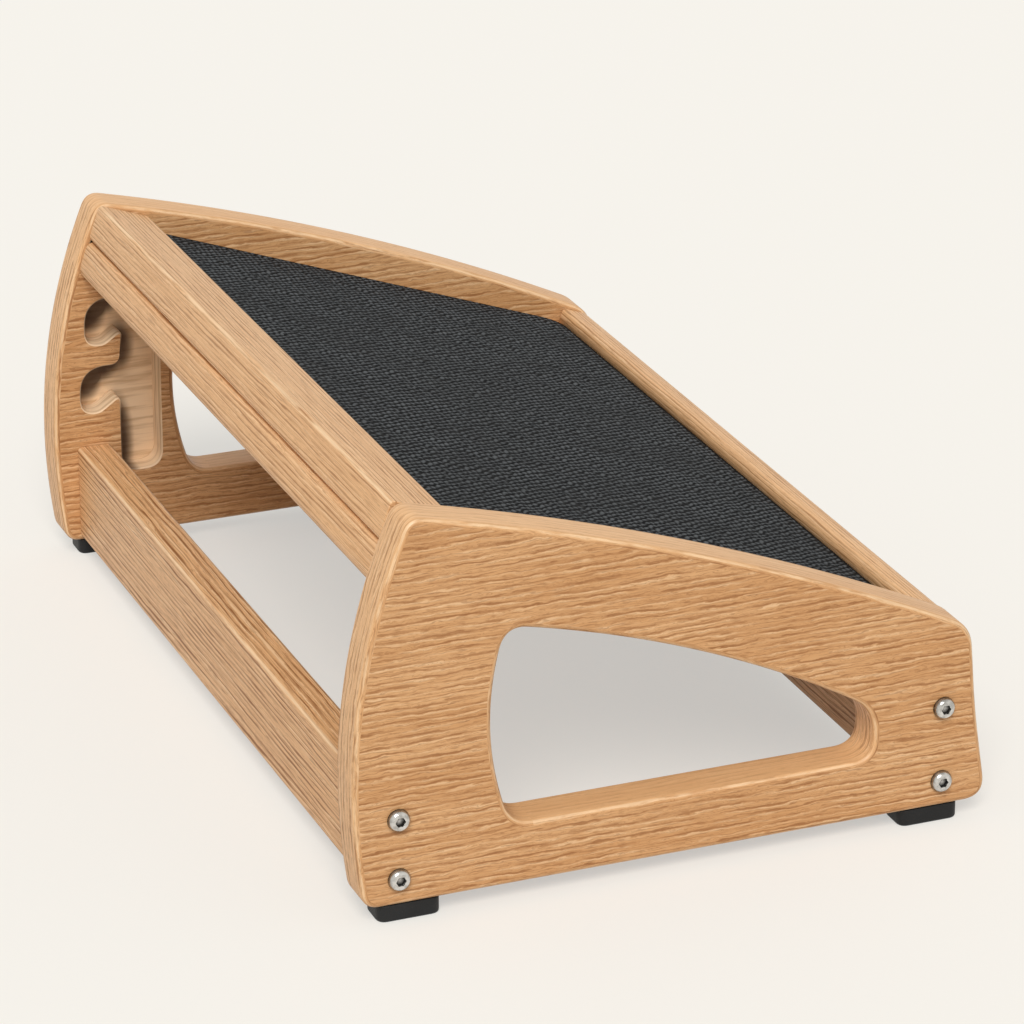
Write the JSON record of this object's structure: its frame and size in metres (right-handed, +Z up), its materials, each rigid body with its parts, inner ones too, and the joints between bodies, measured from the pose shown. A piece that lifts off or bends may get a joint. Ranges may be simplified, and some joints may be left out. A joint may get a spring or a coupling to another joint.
{
  "type": "adjustable footrest stool",
  "caption": "Sloped wooden footrest stool: side panels with hand holes carry a lifting platform with a ribbed grip mat, propped on a bar in hooked notches.",
  "frame": {"origin": "on the floor, below the middle of the stool's box", "axes": "+X across the stool along the platform's pivot axis, +Y to the high rear, -Y to the low front, +Z up"},
  "size_m": [0.4772, 0.3095, 0.1917],
  "materials": {
    "oak": "oiled oak, satin",
    "birch_plywood": "sanded plywood",
    "beech_dowel": "plain turned beech",
    "black_rubber": "matt moulded rubber",
    "grip_rubber": "matt ribbed rubber",
    "stainless_steel": "bright stainless",
    "zinc_plated_steel": "zinc plated",
    "nylon": "natural nylon"
  },
  "bodies": {
    "frame": {"side_panel_left": "oak", "side_panel_right": "oak", "rear_stretcher": "oak", "front_stretcher": "oak", "bolt_rear_lower_left": "stainless_steel", "bolt_rear_upper_left": "stainless_steel", "bolt_front_lower_left": "stainless_steel", "bolt_front_upper_left": "stainless_steel", "bolt_rear_lower_right": "stainless_steel", "bolt_rear_upper_right": "stainless_steel", "bolt_front_lower_right": "stainless_steel", "bolt_front_upper_right": "stainless_steel", "barrel_nut_rear_lower_left": "zinc_plated_steel", "barrel_nut_rear_upper_left": "zinc_plated_steel", "barrel_nut_front_lower_left": "zinc_plated_steel", "barrel_nut_front_upper_left": "zinc_plated_steel", "barrel_nut_rear_lower_right": "zinc_plated_steel", "barrel_nut_rear_upper_right": "zinc_plated_steel", "barrel_nut_front_lower_right": "zinc_plated_steel", "barrel_nut_front_upper_right": "zinc_plated_steel", "foot_rear_left": "black_rubber", "foot_front_left": "black_rubber", "foot_rear_right": "black_rubber", "foot_front_right": "black_rubber", "foot_screw_rear_left": "zinc_plated_steel", "foot_screw_front_left": "zinc_plated_steel", "foot_screw_rear_right": "zinc_plated_steel", "foot_screw_front_right": "zinc_plated_steel", "pivot_bush_left": "nylon", "pivot_bush_right": "nylon"},
    "platform": {"front_rail": "oak", "rear_rail": "oak", "deck_board": "birch_plywood", "side_batten_left": "oak", "side_batten_right": "oak", "grip_mat": "grip_rubber", "pivot_pin_left": "stainless_steel", "pivot_pin_right": "stainless_steel"},
    "support_bar": {"support_bar": "oak", "bar_dowel_left": "beech_dowel", "bar_dowel_right": "beech_dowel"}
  },
  "joints": [
    {"name": "platform_tilt", "type": "hinge", "parent": "frame", "child": "platform", "pos_m": [0, -0.136, 0.089], "axis": [1, 0, 0], "range_deg": [0, 70]},
    {"name": "bar_slide", "type": "slide", "parent": "frame", "child": "support_bar", "axis": [0, -0.8192, 0.5736], "range_m": [0, 0.022]}
  ],
  "couplings": [
    {"joint": "bar_slide", "follows": "platform_tilt", "m_per_rad": 0.018}
  ]
}
